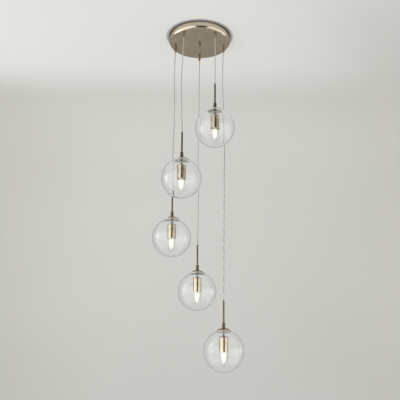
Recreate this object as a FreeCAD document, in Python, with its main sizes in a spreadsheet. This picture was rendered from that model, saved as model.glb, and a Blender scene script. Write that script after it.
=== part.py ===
import FreeCAD, Part
import Sketcher
import math
import os
import re

# A cluster of five glass globes that hangs from one round ceiling canopy.
# Origin: centre of the canopy, on the ceiling plane. +Z points up into the ceiling.
# The pieces of one pendant are drawn about the centre of its globe.

# Driving dimensions, in millimetres.
SIZES = {
    # ceiling canopy: a spun pan with a rounded lower edge
    "canopy_diameter": 250,
    "canopy_depth": 30,
    "canopy_wall": 1.5,
    "canopy_edge_radius": 12,
    "exit_inset": 20,
    # strap that is screwed to the ceiling box
    "strap_length": 130,
    "strap_width": 36,
    "strap_thickness": 2.5,
    "strap_end_radius": 40,
    "slot_spacing": 80,
    "slot_travel": 16,
    "slot_width": 5,
    # centre stud, its lock nut and the cap nut under the canopy
    "stud_diameter": 6,
    "stud_grip": 9,
    "stud_nut_across": 10,
    "stud_nut_height": 5,
    "cap_nut_diameter": 12,
    "cap_nut_height": 14,
    # earth screw in the strap
    "earth_offset": 20,
    "earth_head_diameter": 8,
    "earth_head_height": 2.6,
    "earth_shank_diameter": 4,
    # terminal block on the strap
    "block_offset": 19,
    "block_width": 18,
    "block_length": 34,
    "block_height": 14,
    "block_screw_diameter": 4.2,
    "block_screw_depth": 5,
    "block_pitch": 10.5,
    # cord grips and their lock nuts
    "cord_diameter": 3.5,
    "grip_diameter": 11,
    "grip_length": 19,
    "grip_straight": 10,
    "grip_tip_diameter": 6.2,
    "grip_thread_diameter": 8,
    "grip_thread_length": 6,
    "locknut_across": 12,
    "locknut_height": 3,
    # leads inside the canopy
    "lead_level": 9,
    "lead_bend": 8,
    "lead_straight": 14,
    "lead_pitch": 7,
    # depth of each globe's centre below the ceiling
    "drop_a": 427,
    "drop_b": 625,
    "drop_c": 829,
    "drop_d": 1028,
    "drop_e": 1245,
    # glass globe
    "globe_diameter": 150,
    "globe_wall": 2.5,
    "mouth_margin": 0.8,
    # cap that lies on the globe, and its gasket
    "cap_diameter": 55,
    "cap_rim": 3.5,
    "cap_height": 9,
    "cap_wall": 1.2,
    "cap_land": 1,
    "gasket_thickness": 0.8,
    "gasket_margin": 1,
    # bar that draws the cap down on the glass from inside
    "clamp_overlap": 6,
    "clamp_width": 14,
    "clamp_thickness": 2,
    "clamp_hub_diameter": 12,
    "clamp_hub_height": 4,
    # stem tube and the collar round its foot
    "stem_diameter": 6.5,
    "stem_play": 0.45,
    "stem_rise": 100,
    "stem_engagement": 6,
    "collar_diameter": 12,
    "collar_height": 20,
    # socket cup
    "neck_gap": 20,
    "cup_diameter": 32,
    "cup_height": 54,
    "cup_wall": 1,
    "cup_edge_radius": 3,
    "cup_lip": 1.5,
    "cup_lip_height": 1.6,
    # lampholder inside the cup
    "holder_gap": 3,
    "holder_height": 32,
    "bulb_seat_gap": 1,
    # candle bulb
    "bulb_base_diameter": 11.8,
    "bulb_base_length": 20.5,
    "bulb_contact_diameter": 5,
    "bulb_base_taper": 2,
    "bulb_shoulder": 15,
    "bulb_diameter": 22,
    "bulb_widest": 27,
    "bulb_glass_length": 73,
    "bulb_tip_radius": 1.2,
    # clearances
    "thread_clearance": 0.1,
    "hole_clearance": 0.25,
    "glass_clearance": 0.3,
    "swing_clearance": 0.3,
}

# Each pendant's place round the canopy, counted clockwise from the far side, as seen from above.
PLACES = {"a": 2, "b": 3, "c": 4, "d": 0, "e": 1}
STEP_DEGREES = 360 / len(PLACES)

# How each cord hangs: share of its way down, and how far it strays sideways and forwards.
ROUTES = {
    "a": [(0.55, 0.8, -0.6)],
    "b": [(0.10, -1.6, 0.0), (0.30, -4.6, 0.8), (0.52, -6.8, 1.2), (0.80, -3.2, 0.4)],
    "c": [(0.07, -2.8, 0.0), (0.22, -2.4, 0.6), (0.48, 1.6, 1.0), (0.68, -1.6, 0.2), (0.84, -2.4, -0.5)],
    "d": [(0.12, 0.9, 0.5), (0.36, -1.4, 0.9), (0.58, -2.2, 0.3), (0.78, 2.2, -0.6)],
    "e": [(0.05, -2.4, 0.0), (0.12, -4.0, 0.6), (0.22, -1.2, 1.0), (0.34, 4.4, 0.4), (0.52, 2.8, -0.7)],
}

# Where each lead reaches the terminal block: side of the block, and place along it.
ENTRIES = {"a": (-1, 0.7), "b": (-1, -0.7), "c": (1, -1), "d": (1, 0), "e": (1, 1)}

# The circle that the cords leave the canopy on.
EXIT_R = "(canopy_diameter / 2 - exit_inset)"

# Heights on the canopy, below the ceiling plane.
FACE = "-canopy_depth"
PLATE_TOP = "(canopy_wall - canopy_depth)"
GRIP_TIP = "(-canopy_depth - grip_length)"
STRAP_UNDER = "-strap_thickness"

# Heights on one pendant, above the centre of its globe.
GLOBE_R = "(globe_diameter / 2)"
INNER_R = "(globe_diameter / 2 - globe_wall)"
DOME_R = "(cap_diameter / 2 - cap_rim)"
GASKET_IN = f"({DOME_R} - cap_wall)"
GASKET_OUT = "(cap_diameter / 2 - gasket_margin)"
MOUTH_R = f"({GASKET_IN} - mouth_margin)"
CLAMP_REACH = f"({MOUTH_R} + clamp_overlap)"
CAP_SEAT = f"(sqrt({GLOBE_R}^2 - {GASKET_IN}^2) + gasket_thickness)"
CAP_TOP = f"({CAP_SEAT} + cap_height)"
COLLAR_TOP = f"({CAP_TOP} + collar_height)"
STEM_TOP = f"({CAP_TOP} + stem_rise)"
CLAMP_TOP = f"(sqrt({INNER_R}^2 - {CLAMP_REACH}^2) - glass_clearance)"
CUP_TOP = f"({CAP_SEAT} - neck_gap)"
CUP_FOOT = f"({CUP_TOP} - cup_height)"
HOLDER_TOP = f"({CUP_TOP} - cup_wall)"
STEM_FOOT = f"({HOLDER_TOP} - stem_engagement)"
HOLDER_FOOT = f"({HOLDER_TOP} - holder_height)"
STEM_HOLE = "(stem_diameter / 2 + thread_clearance)"
STEM_BORE_R = "(cord_diameter / 2 + stem_play)"
HOLDER_R = "(cup_diameter / 2 - cup_wall - holder_gap)"
HOLDER_BORE_TOP = f"({HOLDER_FOOT} + bulb_base_length + bulb_seat_gap)"

doc = FreeCAD.newDocument("cluster_pendant")
sheet = doc.addObject("Spreadsheet::Sheet", "Sizes")


def fill_sheet():
    """One row for each size: its name, and its value under an alias."""
    for row, (name, number) in enumerate(SIZES.items(), start=1):
        sheet.set(f"A{row}", name)
        sheet.set(f"B{row}", str(number))
        sheet.setAlias(f"B{row}", name)
    doc.recompute()


def qualified(text):
    """An expression in the sheet's sizes, as the document reads it."""
    return re.sub(r"[a-z_]+", lambda word: f"Sizes.{word[0]}" if word[0] in SIZES else word[0], text)


def value(text):
    """What an expression in the sheet's sizes comes to."""
    return float(sheet.evalExpression(qualified(text)))


def bind(obj, path, text):
    obj.setExpression(path, qualified(text))


# ---------------------------------------------------------------- drawing


def sketch_on(body, role, name):
    """A sketch on one of the body's own origin planes."""
    sketch = body.newObject("Sketcher::SketchObject", name)
    plane = [item for item in body.Origin.OriginFeatures if item.Role == role][0]
    sketch.AttachmentSupport = [(plane, "")]
    sketch.MapMode = "FlatFace"
    return sketch


def hold(sketch, kind, geometry, point, text):
    """Hold a point at a distance from the sketch's origin along one axis."""
    if text == "0":
        axis = -2 if kind == "DistanceX" else -1
        sketch.addConstraint(Sketcher.Constraint("PointOnObject", geometry, point, axis))
        return
    constraint = Sketcher.Constraint(kind, -1, 1, geometry, point, value(text))
    number = sketch.addConstraint(constraint)
    bind(sketch, f"Constraints[{number}]", text)


def hold_radius(sketch, geometry, text):
    number = sketch.addConstraint(Sketcher.Constraint("Radius", geometry, value(text)))
    bind(sketch, f"Constraints[{number}]", text)


def arc_between(start, end, radius, left):
    """The shorter arc from start to end that curves to its left or to its right, as drawn."""
    chord = end - start
    middle = (start + end) * 0.5
    rise = math.sqrt(max(radius**2 - chord.Length**2 / 4, 0))
    normal = FreeCAD.Vector(-chord.y, chord.x, 0).normalize()
    centre = middle + normal * (rise if left else -rise)
    circle = Part.Circle(centre, FreeCAD.Vector(0, 0, 1), radius)
    first, last = (start, end) if left else (end, start)
    turn_first = math.atan2(first.y - centre.y, first.x - centre.x)
    turn_last = math.atan2(last.y - centre.y, last.x - centre.x)
    return Part.ArcOfCircle(circle, turn_first, turn_last)


def outline(sketch, corners):
    """A closed outline. A corner is (x, y); one that an arc leads to is (x, y, radius, side)."""
    points = [FreeCAD.Vector(value(corner[0]), value(corner[1]), 0) for corner in corners]
    ends = []
    for index, corner in enumerate(corners):
        start = points[index - 1]
        end = points[index]
        if len(corner) == 2:
            number = sketch.addGeometry(Part.LineSegment(start, end), False)
            ends.append((number, 1, 2))
        else:
            left = corner[3] == "left"
            number = sketch.addGeometry(arc_between(start, end, value(corner[2]), left), False)
            ends.append((number, 1, 2) if left else (number, 2, 1))
    for index, corner in enumerate(corners):
        number, _, last = ends[index]
        following, first, _ = ends[(index + 1) % len(corners)]
        sketch.addConstraint(Sketcher.Constraint("Coincident", number, last, following, first))
        hold(sketch, "DistanceX", number, last, corner[0])
        hold(sketch, "DistanceY", number, last, corner[1])
        if len(corner) > 2:
            hold_radius(sketch, number, corner[2])


def ring(sketch, x, y, radius):
    """A circle held at its centre."""
    centre = FreeCAD.Vector(value(x), value(y), 0)
    circle = Part.Circle(centre, FreeCAD.Vector(0, 0, 1), value(radius))
    number = sketch.addGeometry(circle, False)
    hold(sketch, "DistanceX", number, 3, x)
    hold(sketch, "DistanceY", number, 3, y)
    hold_radius(sketch, number, radius)


def slot(sketch, x, half_travel, radius):
    """A slot along X, from two half circles and the lines between them."""
    up = FreeCAD.Vector(0, 0, 1)
    near = FreeCAD.Vector(value(f"{x} - {half_travel}"), 0, 0)
    far = FreeCAD.Vector(value(f"{x} + {half_travel}"), 0, 0)
    size = value(radius)
    side = FreeCAD.Vector(0, size, 0)
    near_arc = Part.ArcOfCircle(Part.Circle(near, up, size), math.pi / 2, 3 * math.pi / 2)
    far_arc = Part.ArcOfCircle(Part.Circle(far, up, size), -math.pi / 2, math.pi / 2)
    a = sketch.addGeometry(near_arc, False)
    b = sketch.addGeometry(far_arc, False)
    top = sketch.addGeometry(Part.LineSegment(near + side, far + side), False)
    low = sketch.addGeometry(Part.LineSegment(far - side, near - side), False)
    for pair in [(a, 1, top, 1), (a, 2, low, 2), (b, 1, low, 1), (b, 2, top, 2)]:
        sketch.addConstraint(Sketcher.Constraint("Tangent", *pair))
    hold(sketch, "DistanceX", a, 3, f"{x} - {half_travel}")
    hold(sketch, "DistanceY", a, 3, "0")
    hold(sketch, "DistanceX", b, 3, f"{x} + {half_travel}")
    hold(sketch, "DistanceY", b, 3, "0")
    sketch.addConstraint(Sketcher.Constraint("Equal", a, b))
    hold_radius(sketch, a, radius)


# ---------------------------------------------------------------- features


def new_body(label):
    return doc.addObject("PartDesign::Body", label)


def turned(label, corners):
    """A body turned about the vertical axis from its half section, as (radius, height)."""
    body = new_body(label)
    sketch = sketch_on(body, "XZ_Plane", f"{label}_section")
    outline(sketch, corners)
    turn = body.newObject("PartDesign::Revolution", f"{label}_turning")
    turn.Profile = sketch
    turn.ReferenceAxis = (sketch, ["V_Axis"])
    turn.Angle = 360
    sketch.Visibility = False
    return body


def padded(body, name, level, thickness, downwards, draw):
    """A plate: a flat sketch at a level, padded up or down."""
    sketch = sketch_on(body, "XY_Plane", f"{name}_outline")
    bind(sketch, "AttachmentOffset.Base.z", level)
    draw(sketch)
    pad = body.newObject("PartDesign::Pad", name)
    pad.Profile = sketch
    pad.Reversed = downwards
    bind(pad, "Length", thickness)
    return pad


def around(body, place, z):
    """Put a body at one place of the exit circle."""
    bind(body, "Placement.Base.x", f"{EXIT_R} * sin({place * STEP_DEGREES} deg)")
    bind(body, "Placement.Base.y", f"{EXIT_R} * cos({place * STEP_DEGREES} deg)")
    bind(body, "Placement.Base.z", z)


def group(label, members):
    """Identical fasteners under one name, each still a solid of its own."""
    compound = doc.addObject("Part::Compound", label)
    compound.Links = members
    return compound


def hexagon(across):
    """The corners of a hexagon, by its width across flats."""
    corners = []
    for side in range(6):
        x = f"{across} / sqrt(3) * cos({side} * 60 deg)"
        y = "0" if side % 3 == 0 else f"{across} / sqrt(3) * sin({side} * 60 deg)"
        corners.append((x, y))
    return corners


def hex_nut(label, across, height, hole_radius, level, downwards):
    def draw(sketch):
        outline(sketch, hexagon(across))
        ring(sketch, "0", "0", hole_radius)

    body = new_body(label)
    padded(body, f"{label}_blank", level, height, downwards, draw)
    return body


# ---------------------------------------------------------------- canopy


def canopy_pan():
    """The spun pan, with a hole for the stud and one for each cord grip."""
    radius = "canopy_diameter / 2"
    edge = "canopy_edge_radius"
    inner_edge = "(canopy_edge_radius - canopy_wall)"
    hole = "(stud_diameter / 2 + hole_clearance)"
    body = turned("canopy_pan", [
        (hole, FACE),
        (f"{radius} - {edge}", FACE),
        (radius, f"{FACE} + {edge}", edge, "left"),
        (radius, "0"),
        (f"{radius} - canopy_wall", "0"),
        (f"{radius} - canopy_wall", f"{FACE} + {edge}"),
        (f"{radius} - {edge}", PLATE_TOP, inner_edge, "right"),
        (hole, PLATE_TOP),
    ])
    sketch = sketch_on(body, "XY_Plane", "grip_hole_outline")
    ring(sketch, "0", EXIT_R, "grip_thread_diameter / 2 + hole_clearance")
    pocket = body.newObject("PartDesign::Pocket", "grip_hole")
    pocket.Profile = sketch
    pocket.Type = "ThroughAll"
    doc.recompute()
    pattern = body.newObject("PartDesign::PolarPattern", "grip_holes")
    pattern.Originals = [pocket]
    pattern.Axis = (sketch, ["N_Axis"])
    pattern.Angle = 360
    pattern.Occurrences = len(PLACES)
    body.Tip = pattern
    return body


def mounting_strap():
    """The strap that is screwed to the ceiling, with two slots for its screws."""
    half = "strap_length / 2"
    side = "strap_width / 2"
    end = f"({half} - strap_end_radius + sqrt(strap_end_radius^2 - ({side})^2))"

    def draw(sketch):
        outline(sketch, [
            (end, f"-{side}"),
            (end, side, "strap_end_radius", "left"),
            (f"-{end}", side),
            (f"-{end}", f"-{side}", "strap_end_radius", "left"),
        ])
        ring(sketch, "0", "0", "stud_diameter / 2 + thread_clearance")
        ring(sketch, "-earth_offset", "0", "earth_shank_diameter / 2 + thread_clearance")
        slot(sketch, "-slot_spacing / 2", "slot_travel / 2", "slot_width / 2")
        slot(sketch, "slot_spacing / 2", "slot_travel / 2", "slot_width / 2")

    body = new_body("mounting_strap")
    padded(body, "strap_plate", "0", "strap_thickness", True, draw)
    return body


def centre_stud():
    return turned("centre_stud", [
        ("0", f"{FACE} - stud_grip"),
        ("stud_diameter / 2", f"{FACE} - stud_grip"),
        ("stud_diameter / 2", "0"),
        ("0", "0"),
    ])


def cap_nut():
    """A blind nut with a domed end, screwed up the stud against the pan."""
    radius = "cap_nut_diameter / 2"
    bore = "(stud_diameter / 2 + thread_clearance)"
    shoulder = f"{FACE} - cap_nut_height + {radius}"
    return turned("cap_nut", [
        (bore, FACE),
        (bore, f"{FACE} - stud_grip - hole_clearance"),
        ("0", f"{FACE} - stud_grip - hole_clearance"),
        ("0", f"{FACE} - cap_nut_height"),
        (radius, shoulder, radius, "left"),
        (radius, FACE),
    ])


def earth_screw():
    head = "earth_head_diameter / 2"
    shank = "earth_shank_diameter / 2"
    under = f"{STRAP_UNDER} - earth_head_height"
    body = turned("earth_screw", [
        ("0", under),
        (head, under),
        (head, STRAP_UNDER),
        (shank, STRAP_UNDER),
        (shank, "0"),
        ("0", "0"),
    ])
    bind(body, "Placement.Base.x", "-earth_offset")
    return body


def terminal_block():
    """A block of three terminals under the strap, each with a screw that faces down."""
    half_width = "block_width / 2"
    half_length = "block_length / 2"
    body = new_body("terminal_block")

    def draw(sketch):
        outline(sketch, [
            (half_width, f"-{half_length}"),
            (half_width, half_length),
            (f"-{half_width}", half_length),
            (f"-{half_width}", f"-{half_length}"),
        ])

    padded(body, "block_blank", STRAP_UNDER, "block_height", True, draw)
    sketch = sketch_on(body, "XY_Plane", "screw_well_outline")
    bind(sketch, "AttachmentOffset.Base.z", f"{STRAP_UNDER} - block_height")
    ring(sketch, "0", "-block_pitch", "block_screw_diameter / 2")
    pocket = body.newObject("PartDesign::Pocket", "screw_well")
    pocket.Profile = sketch
    pocket.Reversed = True
    bind(pocket, "Length", "block_screw_depth")
    doc.recompute()
    pattern = body.newObject("PartDesign::LinearPattern", "screw_wells")
    pattern.Originals = [pocket]
    pattern.Direction = (sketch, ["V_Axis"])
    bind(pattern, "Length", "2 * block_pitch")
    pattern.Occurrences = 3
    body.Tip = pattern
    bind(body, "Placement.Base.x", "block_offset")
    return body


def cord_grip(key, place):
    """The gland that a cord comes out of: a threaded neck above, a tapered nose below."""
    radius = "grip_diameter / 2"
    bore = "(cord_diameter / 2 + hole_clearance)"
    thread = "grip_thread_diameter / 2"
    neck_top = f"{PLATE_TOP} + grip_thread_length"
    body = turned(f"cord_grip_{key}", [
        (bore, GRIP_TIP),
        ("grip_tip_diameter / 2", GRIP_TIP),
        (radius, f"{FACE} - grip_straight"),
        (radius, FACE),
        (thread, FACE),
        (thread, neck_top),
        (bore, neck_top),
    ])
    around(body, place, "0")
    return body


def grip_locknut(key, place):
    hole = "grip_thread_diameter / 2 + thread_clearance"
    body = hex_nut(f"grip_locknut_{key}", "locknut_across", "locknut_height", hole, PLATE_TOP, False)
    around(body, place, "0")
    return body


# ---------------------------------------------------------------- cords


def exit_point(place, z):
    angle = math.radians(place * STEP_DEGREES)
    radius = value(EXIT_R)
    return FreeCAD.Vector(radius * math.sin(angle), radius * math.cos(angle), z)


def rounded_path(points, largest):
    """Straight runs joined by tangent arcs, each as large as its two runs allow."""
    edges = []
    radii = []
    start = points[0]
    for before, corner, after in zip(points, points[1:], points[2:]):
        coming = (corner - before).normalize()
        going = (after - corner).normalize()
        half_turn = coming.getAngle(going) / 2
        shorter = min((corner - before).Length, (after - corner).Length)
        radius = min(0.45 * shorter / math.tan(half_turn), largest)
        cut = radius * math.tan(half_turn)
        inward = (going - coming).normalize()
        centre = corner + inward * (radius / math.cos(half_turn))
        first = corner - coming * cut
        last = corner + going * cut
        middle = centre - inward * radius
        edges.append(Part.LineSegment(start, first).toShape())
        edges.append(Part.Arc(first, middle, last).toShape())
        radii.append(radius)
        start = last
    edges.append(Part.LineSegment(start, points[-1]).toShape())
    return Part.Wire(edges), radii


def tube(points, diameter, largest=math.inf):
    """A round tube along a rounded path, with the radii of the path's arcs."""
    path, radii = rounded_path(points, largest)
    circle = Part.Circle(points[0], points[1] - points[0], diameter / 2)
    section = Part.Wire([circle.toShape()])
    solid = path.makePipeShell([section], True, False)
    expected = math.pi * diameter**2 / 4 * path.Length
    if abs(solid.Volume - expected) > 0.01 * expected:
        raise RuntimeError("a tube's volume isn't its section times its length")
    return solid, radii, path.Length


def pendant_cord(key, place):
    """The free stretch of one cord, from its grip down to its stem."""
    top = value(GRIP_TIP) - value("swing_clearance")
    foot = value(f"{STEM_TOP} - drop_{key}") + value("swing_clearance")
    points = [exit_point(place, top)]
    for share, sideways, forwards in ROUTES[key]:
        height = top + share * (foot - top)
        points.append(exit_point(place, height) + FreeCAD.Vector(sideways, forwards, 0))
    points.append(exit_point(place, foot))
    solid, radii, length = tube(points, value("cord_diameter"))
    print(f"cord_{key}: {length:.0f} mm, arc radii {[round(radius) for radius in radii]} mm")
    cord = doc.addObject("Part::Feature", f"cord_{key}")
    cord.Shape = solid
    return cord


def canopy_leads():
    """Each cord's stretch from the mouth of its grip to the terminal block."""
    level = -value("lead_level")
    solids = []
    for key, place in PLACES.items():
        side, seat = ENTRIES[key]
        x = value("block_offset") + seat * value("lead_pitch")
        face = side * value("block_length / 2")
        bend = face + side * value("lead_straight")
        mouth = value(GRIP_TIP) + value("swing_clearance")
        points = [
            exit_point(place, mouth),
            exit_point(place, level),
            FreeCAD.Vector(x, bend, level),
            FreeCAD.Vector(x, face, level),
        ]
        solid, _, _ = tube(points, value("cord_diameter"), value("lead_bend"))
        solids.append(solid)
    leads = doc.addObject("Part::Feature", "canopy_leads")
    leads.Shape = Part.makeCompound(solids)
    return leads


# ---------------------------------------------------------------- one pendant


def stem(key):
    radius = "stem_diameter / 2"
    return turned(f"stem_{key}", [
        (STEM_BORE_R, STEM_FOOT),
        (radius, STEM_FOOT),
        (radius, STEM_TOP),
        (STEM_BORE_R, STEM_TOP),
    ])


def collar(key):
    radius = "collar_diameter / 2"
    return turned(f"collar_{key}", [
        (STEM_HOLE, CAP_TOP),
        (radius, CAP_TOP),
        (radius, COLLAR_TOP),
        (STEM_HOLE, COLLAR_TOP),
    ])


def globe_cap(key):
    """A shallow dome with a flat rim, and a level land for the collar."""
    land = "(collar_diameter / 2 + cap_land)"
    shoulder = f"{CAP_SEAT} + cap_wall"
    drop = "(cap_height - cap_wall)"
    outer_run = f"({DOME_R} - {land})"
    inner_run = f"({GASKET_IN} - {land})"
    return turned(f"globe_cap_{key}", [
        (STEM_HOLE, CAP_TOP),
        (STEM_HOLE, f"{CAP_TOP} - cap_wall"),
        (land, f"{CAP_TOP} - cap_wall"),
        (GASKET_IN, CAP_SEAT, f"({inner_run}^2 + {drop}^2) / (2 * {drop})", "right"),
        ("cap_diameter / 2", CAP_SEAT),
        ("cap_diameter / 2", shoulder),
        (DOME_R, shoulder),
        (land, CAP_TOP, f"({outer_run}^2 + {drop}^2) / (2 * {drop})", "left"),
    ])


def gasket(key):
    """A soft washer, flat against the cap and hollowed to the glass."""
    seat = f"({GLOBE_R} + thread_clearance)"
    return turned(f"gasket_{key}", [
        (GASKET_IN, f"sqrt({seat}^2 - {GASKET_IN}^2)", seat, "left"),
        (GASKET_IN, CAP_SEAT),
        (GASKET_OUT, CAP_SEAT),
        (GASKET_OUT, f"sqrt({seat}^2 - {GASKET_OUT}^2)"),
    ])


def globe(key):
    """A blown sphere, open at the top and closed below."""
    return turned(f"globe_{key}", [
        (MOUTH_R, f"sqrt({INNER_R}^2 - {MOUTH_R}^2)", INNER_R, "left"),
        (MOUTH_R, f"sqrt({GLOBE_R}^2 - {MOUTH_R}^2)"),
        ("0", f"-{GLOBE_R}", GLOBE_R, "right"),
        ("0", f"-{INNER_R}"),
    ])


def globe_clamp(key):
    """A tapped bar, small enough to tip in through the globe's mouth."""
    side = "clamp_width / 2"
    end = f"sqrt({CLAMP_REACH}^2 - ({side})^2)"

    def draw_bar(sketch):
        outline(sketch, [
            (end, f"-{side}"),
            (end, side, CLAMP_REACH, "left"),
            (f"-{end}", side),
            (f"-{end}", f"-{side}", CLAMP_REACH, "left"),
        ])
        ring(sketch, "0", "0", STEM_HOLE)

    def draw_hub(sketch):
        ring(sketch, "0", "0", "clamp_hub_diameter / 2")
        ring(sketch, "0", "0", STEM_HOLE)

    body = new_body(f"globe_clamp_{key}")
    padded(body, f"clamp_bar_{key}", CLAMP_TOP, "clamp_thickness", True, draw_bar)
    under = f"{CLAMP_TOP} - clamp_thickness"
    padded(body, f"clamp_hub_{key}", under, "clamp_hub_height", True, draw_hub)
    return body


def socket_cup(key):
    """A deep drawn cup, hung mouth down from the stem, with a small lip round its top."""
    radius = "cup_diameter / 2"
    edge = "cup_edge_radius"
    inner_edge = "(cup_edge_radius - cup_wall)"
    lip = f"{radius} + cup_lip"
    lip_top = f"{CUP_TOP} - {edge}"
    lip_foot = f"{lip_top} - cup_lip_height"
    return turned(f"socket_cup_{key}", [
        (STEM_HOLE, CUP_TOP),
        (STEM_HOLE, HOLDER_TOP),
        (f"{radius} - {edge}", HOLDER_TOP),
        (f"{radius} - cup_wall", lip_top, inner_edge, "right"),
        (f"{radius} - cup_wall", CUP_FOOT),
        (radius, CUP_FOOT),
        (radius, lip_foot),
        (lip, lip_foot),
        (lip, lip_top),
        (radius, lip_top),
        (f"{radius} - {edge}", CUP_TOP, edge, "left"),
    ])


def lampholder(key):
    """The holder, with its lead moulded in and led up through the stem."""
    lead = "cord_diameter / 2"
    bore = "(bulb_base_diameter / 2 + thread_clearance)"
    return turned(f"lampholder_{key}", [
        ("0", f"{STEM_TOP} - swing_clearance"),
        ("0", HOLDER_BORE_TOP),
        (bore, HOLDER_BORE_TOP),
        (bore, HOLDER_FOOT),
        (HOLDER_R, HOLDER_FOOT),
        (HOLDER_R, HOLDER_TOP),
        (STEM_HOLE, HOLDER_TOP),
        (STEM_HOLE, STEM_FOOT),
        (lead, STEM_FOOT),
        (lead, f"{STEM_TOP} - swing_clearance"),
    ])


def bulb(key):
    """A candle bulb: a straight screw base and a slim glass that ends in a point."""
    base = "bulb_base_diameter / 2"
    shoulder = f"({HOLDER_FOOT} - glass_clearance)"
    base_top = f"({HOLDER_FOOT} + bulb_base_length)"
    widest = f"({shoulder} - bulb_widest)"
    tip = f"({shoulder} - bulb_glass_length)"
    radius = "(bulb_diameter / 2)"
    upper_swell = f"({radius} - bulb_shoulder / 2)"
    lower_swell = f"({radius} - bulb_tip_radius)"
    lower_drop = f"({widest} - {tip} - bulb_tip_radius)"
    return turned(f"bulb_{key}", [
        ("0", base_top),
        ("0", tip),
        ("bulb_tip_radius", f"{tip} + bulb_tip_radius", "bulb_tip_radius", "left"),
        (radius, widest, f"({lower_drop}^2 + {lower_swell}^2) / (2 * {lower_swell})", "left"),
        ("bulb_shoulder / 2", shoulder, f"(bulb_widest^2 + {upper_swell}^2) / (2 * {upper_swell})", "left"),
        (base, shoulder),
        (base, f"{base_top} - bulb_base_taper"),
        ("bulb_contact_diameter / 2", base_top),
    ])


def pendant(key, place):
    """Everything that hangs from one cord, in the order in which it is put together."""
    makers = [stem, collar, globe_cap, gasket, globe, globe_clamp, socket_cup, lampholder, bulb]
    pieces = [maker(key) for maker in makers]
    for piece in pieces:
        around(piece, place, f"-drop_{key}")
    return pieces


# ---------------------------------------------------------------- the whole object


def build():
    stud_nut_hole = "stud_diameter / 2 + thread_clearance"
    nodes = [
        canopy_pan(),
        mounting_strap(),
        centre_stud(),
        hex_nut("stud_nut", "stud_nut_across", "stud_nut_height", stud_nut_hole, STRAP_UNDER, True),
        cap_nut(),
        earth_screw(),
        terminal_block(),
        group("cord_grips", [cord_grip(key, place) for key, place in PLACES.items()]),
        group("grip_locknuts", [grip_locknut(key, place) for key, place in PLACES.items()]),
        canopy_leads(),
    ]
    for key, place in PLACES.items():
        nodes.append(pendant_cord(key, place))
        nodes.extend(pendant(key, place))
    doc.recompute()
    return nodes


def check(nodes):
    """Nothing is written unless every object was computed and every shape is sound."""
    for item in doc.Objects:
        if "Invalid" in item.State or "Error" in item.State:
            raise RuntimeError(f"{item.Label} wasn't computed: {item.State}")
    for node in nodes:
        if node.Shape.isNull() or not node.Shape.isValid():
            raise RuntimeError(f"{node.Label} has no sound shape")


def write(nodes):
    os.makedirs("parts", exist_ok=True)
    for node in nodes:
        node.Shape.exportStep(f"parts/{node.Label}.step")
    print(f"{len(nodes)} sub-parts written")


fill_sheet()
sub_parts = build()
check(sub_parts)
write(sub_parts)
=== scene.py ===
import math

import bmesh
import bpy
from mathutils import Matrix, Vector


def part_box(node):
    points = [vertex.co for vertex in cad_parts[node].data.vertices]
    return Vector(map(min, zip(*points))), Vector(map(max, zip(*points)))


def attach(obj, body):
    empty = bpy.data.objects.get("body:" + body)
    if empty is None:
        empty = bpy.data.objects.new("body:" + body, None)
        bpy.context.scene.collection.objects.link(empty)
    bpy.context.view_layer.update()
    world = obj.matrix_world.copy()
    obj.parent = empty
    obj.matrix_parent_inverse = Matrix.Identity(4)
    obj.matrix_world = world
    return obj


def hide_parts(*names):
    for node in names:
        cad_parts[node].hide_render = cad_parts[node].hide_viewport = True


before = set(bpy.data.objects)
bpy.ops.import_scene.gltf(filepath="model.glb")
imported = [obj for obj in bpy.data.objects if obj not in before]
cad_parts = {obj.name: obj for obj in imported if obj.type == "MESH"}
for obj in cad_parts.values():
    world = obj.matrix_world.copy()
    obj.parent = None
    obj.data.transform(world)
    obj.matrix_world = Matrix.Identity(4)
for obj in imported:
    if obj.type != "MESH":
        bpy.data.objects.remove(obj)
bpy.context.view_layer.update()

MM = 0.001
UP = Vector((0, 0, 1))
ORIGIN = Vector((0, 0, 0))
FULL_TURN = 2 * math.pi

# ---------------------------------------- camera

# The photograph is 400 pixels wide, and its lens sees 500 pixels' worth of distance in front of it.
PHOTO_SIZE = 400
FOCAL_PIXELS = 500
SENSOR = 36.0
CAMERA_PLACE = Vector((0.008, -1.872, -1.102))
CAMERA_PITCH = math.radians(12.5)
CAMERA_ROLL = math.radians(0.54)


def make_camera():
    data = bpy.data.cameras.new("camera")
    data.sensor_width = SENSOR
    data.lens = SENSOR * FOCAL_PIXELS / PHOTO_SIZE
    camera = bpy.data.objects.new("camera", data)
    bpy.context.collection.objects.link(camera)
    level = Matrix.Rotation(math.pi / 2 + CAMERA_PITCH, 4, "X")
    roll = Matrix.Rotation(CAMERA_ROLL, 4, "Z")
    camera.matrix_world = Matrix.Translation(CAMERA_PLACE) @ level @ roll
    bpy.context.scene.camera = camera


make_camera()

# ---------------------------------------- what the frame gives

GLOBE_RADIUS = 75 * MM
EXIT_RADIUS = 105 * MM
PLACES = {"a": 2, "b": 3, "c": 4, "d": 0, "e": 1}
STEP = FULL_TURN / len(PLACES)


def exit_of(key):
    """The point under the canopy that a pendant hangs from, level with the ceiling."""
    angle = PLACES[key] * STEP
    return Vector((EXIT_RADIUS * math.sin(angle), EXIT_RADIUS * math.cos(angle), 0))


def centre_of(key):
    """The centre of a pendant's globe."""
    low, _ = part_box(f"globe_{key}")
    return exit_of(key) + UP * (low.z + GLOBE_RADIUS)


def span(node, key):
    """The lowest and highest level of a node, above the centre of its globe."""
    low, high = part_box(f"{node}_{key}")
    level = centre_of(key).z
    return low.z - level, high.z - level


# ---------------------------------------- shader building

# Nearly all that a noise texture gives lies in the first range, and most of it in the second.
NOISE_RANGE = (0.3, 0.7)
NOISE_MIDDLE = (0.35, 0.65)


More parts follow.
